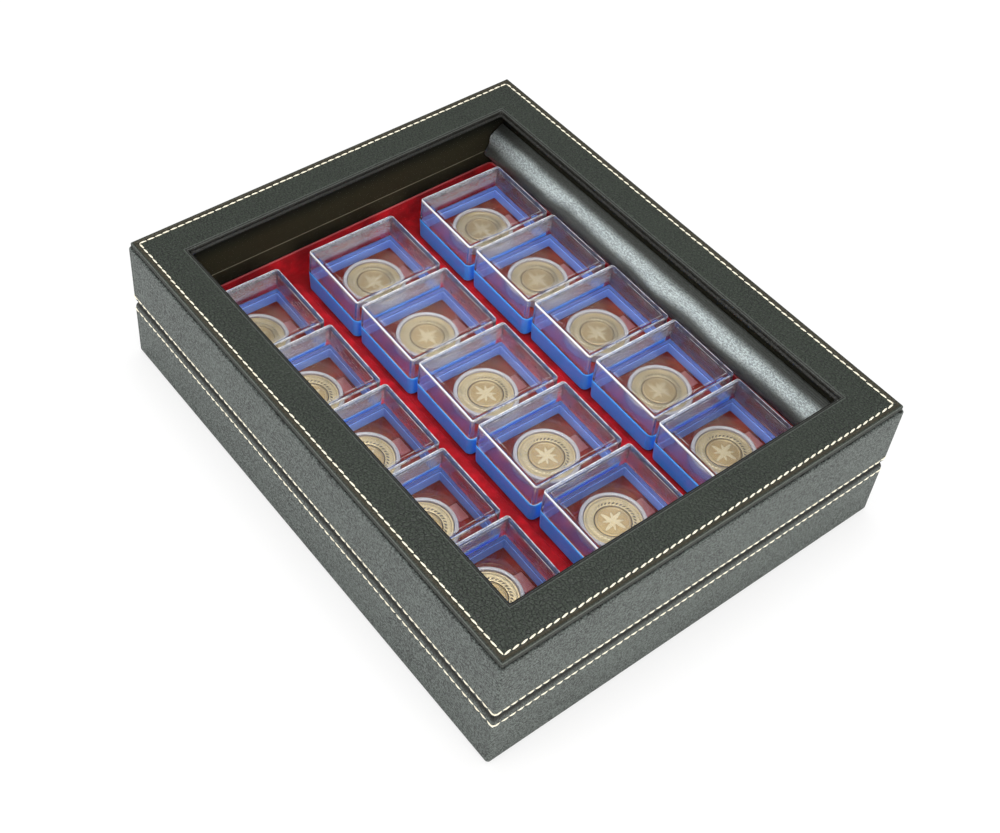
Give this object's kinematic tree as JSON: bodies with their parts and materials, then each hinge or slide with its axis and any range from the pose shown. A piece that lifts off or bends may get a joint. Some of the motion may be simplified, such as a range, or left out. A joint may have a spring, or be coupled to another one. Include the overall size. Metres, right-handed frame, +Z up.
{
  "type": "coin display case",
  "caption": "Hinged display case with a window lid, a flocked tray and rows of coin boxes with clear covers over capsuled coins.",
  "frame": {"origin": "middle of the underside, which the case stands on", "axes": "+X along the length, towards the right end; -Y towards the opening side and +Y towards the hinges; +Z up"},
  "size_m": [0.284, 0.232, 0.075],
  "materials": {
    "leatherette": "black grained leatherette, satin",
    "lining": "dark matt lining",
    "board": "plain fibreboard",
    "bottom_sheet": "black matt covering",
    "velour": "red flocked velour",
    "glass": "clear, polished",
    "satin": "silver satin, shiny",
    "hinge_brass": "polished brass plate",
    "blue_plastic": "moulded, glossy",
    "clear_plastic": "clear, polished",
    "coin_metal": "struck coin, semi-bright"
  },
  "bodies": {
    "case_base": {"base_walls": "leatherette", "base_bottom_board": "board", "base_bottom_sheet": "bottom_sheet", "base_lining": "lining", "tray_spacer": "board", "coin_tray": "velour", "satin_gusset": "satin", "hinge_left_lower_leaf": "hinge_brass", "hinge_right_lower_leaf": "hinge_brass", "box_base_front_1": "blue_plastic", "coin_capsule_front_1": "coin_metal", "box_base_front_2": "blue_plastic", "coin_capsule_front_2": "coin_metal", "box_base_front_3": "blue_plastic", "coin_capsule_front_3": "coin_metal", "box_base_front_4": "blue_plastic", "coin_capsule_front_4": "coin_metal", "box_base_front_5": "blue_plastic", "coin_capsule_front_5": "coin_metal", "box_base_middle_1": "blue_plastic", "coin_capsule_middle_1": "coin_metal", "box_base_middle_2": "blue_plastic", "coin_capsule_middle_2": "coin_metal", "box_base_middle_3": "blue_plastic", "coin_capsule_middle_3": "coin_metal", "box_base_middle_4": "blue_plastic", "coin_capsule_middle_4": "coin_metal", "box_base_middle_5": "blue_plastic", "coin_capsule_middle_5": "coin_metal", "box_base_back_1": "blue_plastic", "coin_capsule_back_1": "coin_metal", "box_base_back_2": "blue_plastic", "coin_capsule_back_2": "coin_metal", "box_base_back_3": "blue_plastic", "coin_capsule_back_3": "coin_metal", "box_base_back_4": "blue_plastic", "coin_capsule_back_4": "coin_metal", "box_base_back_5": "blue_plastic", "coin_capsule_back_5": "coin_metal"},
    "lid": {"lid_walls": "leatherette", "lid_top_frame": "leatherette", "window_glass": "glass", "lid_lining": "lining", "hinge_left_upper_leaf": "hinge_brass", "hinge_right_upper_leaf": "hinge_brass"},
    "cover_front_1": {"box_cover_front_1": "clear_plastic"},
    "cover_front_2": {"box_cover_front_2": "clear_plastic"},
    "cover_front_3": {"box_cover_front_3": "clear_plastic"},
    "cover_front_4": {"box_cover_front_4": "clear_plastic"},
    "cover_front_5": {"box_cover_front_5": "clear_plastic"},
    "cover_middle_1": {"box_cover_middle_1": "clear_plastic"},
    "cover_middle_2": {"box_cover_middle_2": "clear_plastic"},
    "cover_middle_3": {"box_cover_middle_3": "clear_plastic"},
    "cover_middle_4": {"box_cover_middle_4": "clear_plastic"},
    "cover_middle_5": {"box_cover_middle_5": "clear_plastic"},
    "cover_back_1": {"box_cover_back_1": "clear_plastic"},
    "cover_back_2": {"box_cover_back_2": "clear_plastic"},
    "cover_back_3": {"box_cover_back_3": "clear_plastic"},
    "cover_back_4": {"box_cover_back_4": "clear_plastic"},
    "cover_back_5": {"box_cover_back_5": "clear_plastic"}
  },
  "joints": [
    {"name": "lid_hinge", "type": "hinge", "parent": "case_base", "child": "lid", "pos_m": [0, 0.1143, 0.0352], "axis": [-1, 0, 0], "range_deg": [0, 100], "deforming": ["satin_gusset"]},
    {"name": "cover_lift_front_1", "type": "slide", "parent": "case_base", "child": "cover_front_1", "axis": [0, 0, 1], "range_m": [0, 0.015]},
    {"name": "cover_lift_front_2", "type": "slide", "parent": "case_base", "child": "cover_front_2", "axis": [0, 0, 1], "range_m": [0, 0.015]},
    {"name": "cover_lift_front_3", "type": "slide", "parent": "case_base", "child": "cover_front_3", "axis": [0, 0, 1], "range_m": [0, 0.015]},
    {"name": "cover_lift_front_4", "type": "slide", "parent": "case_base", "child": "cover_front_4", "axis": [0, 0, 1], "range_m": [0, 0.015]},
    {"name": "cover_lift_front_5", "type": "slide", "parent": "case_base", "child": "cover_front_5", "axis": [0, 0, 1], "range_m": [0, 0.015]},
    {"name": "cover_lift_middle_1", "type": "slide", "parent": "case_base", "child": "cover_middle_1", "axis": [0, 0, 1], "range_m": [0, 0.015]},
    {"name": "cover_lift_middle_2", "type": "slide", "parent": "case_base", "child": "cover_middle_2", "axis": [0, 0, 1], "range_m": [0, 0.015]},
    {"name": "cover_lift_middle_3", "type": "slide", "parent": "case_base", "child": "cover_middle_3", "axis": [0, 0, 1], "range_m": [0, 0.015]},
    {"name": "cover_lift_middle_4", "type": "slide", "parent": "case_base", "child": "cover_middle_4", "axis": [0, 0, 1], "range_m": [0, 0.015]},
    {"name": "cover_lift_middle_5", "type": "slide", "parent": "case_base", "child": "cover_middle_5", "axis": [0, 0, 1], "range_m": [0, 0.015]},
    {"name": "cover_lift_back_1", "type": "slide", "parent": "case_base", "child": "cover_back_1", "axis": [0, 0, 1], "range_m": [0, 0.015]},
    {"name": "cover_lift_back_2", "type": "slide", "parent": "case_base", "child": "cover_back_2", "axis": [0, 0, 1], "range_m": [0, 0.015]},
    {"name": "cover_lift_back_3", "type": "slide", "parent": "case_base", "child": "cover_back_3", "axis": [0, 0, 1], "range_m": [0, 0.015]},
    {"name": "cover_lift_back_4", "type": "slide", "parent": "case_base", "child": "cover_back_4", "axis": [0, 0, 1], "range_m": [0, 0.015]},
    {"name": "cover_lift_back_5", "type": "slide", "parent": "case_base", "child": "cover_back_5", "axis": [0, 0, 1], "range_m": [0, 0.015]}
  ]
}
